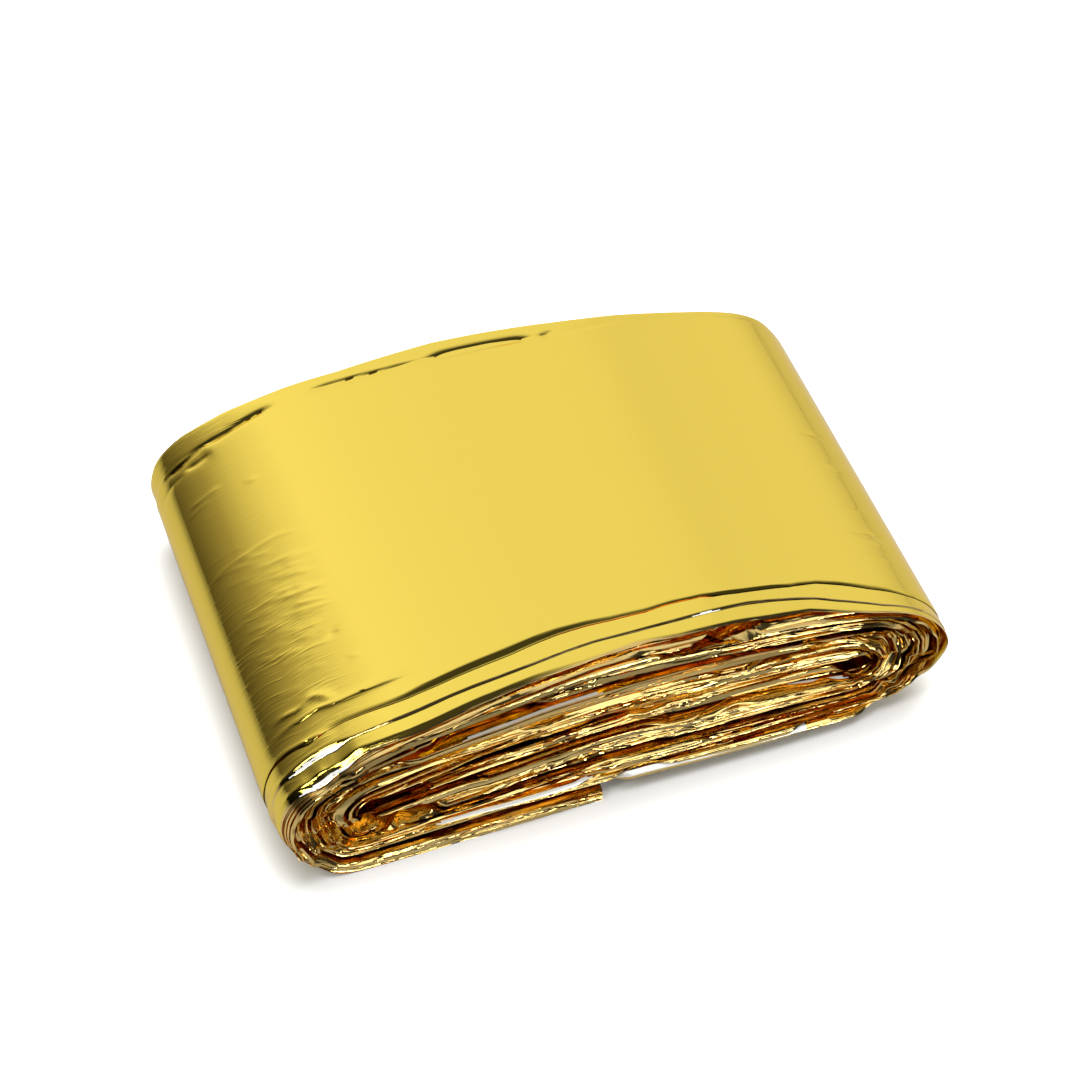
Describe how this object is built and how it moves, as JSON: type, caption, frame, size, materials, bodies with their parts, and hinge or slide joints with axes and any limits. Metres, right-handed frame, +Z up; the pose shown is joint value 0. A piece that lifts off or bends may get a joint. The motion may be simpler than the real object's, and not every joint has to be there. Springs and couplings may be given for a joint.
{
  "type": "emergency foil blanket",
  "caption": "Gold metallised film blanket, folded into a strip and wound flat into a bundle with an arched top and a flat underside.",
  "frame": {"origin": "on the surface that the bundle rests on, under the middle of its bounding box", "axes": "+X along the bundle's length, +Y from the front edges of the folded strip to its back edges, +Z up"},
  "size_m": [0.133, 0.0968, 0.0389],
  "materials": {
    "gold_film": "glossy metallised film, gold on the outside, with fine wrinkles"
  },
  "bodies": {
    "root": {"foil_blanket": "gold_film"}
  },
  "joints": []
}
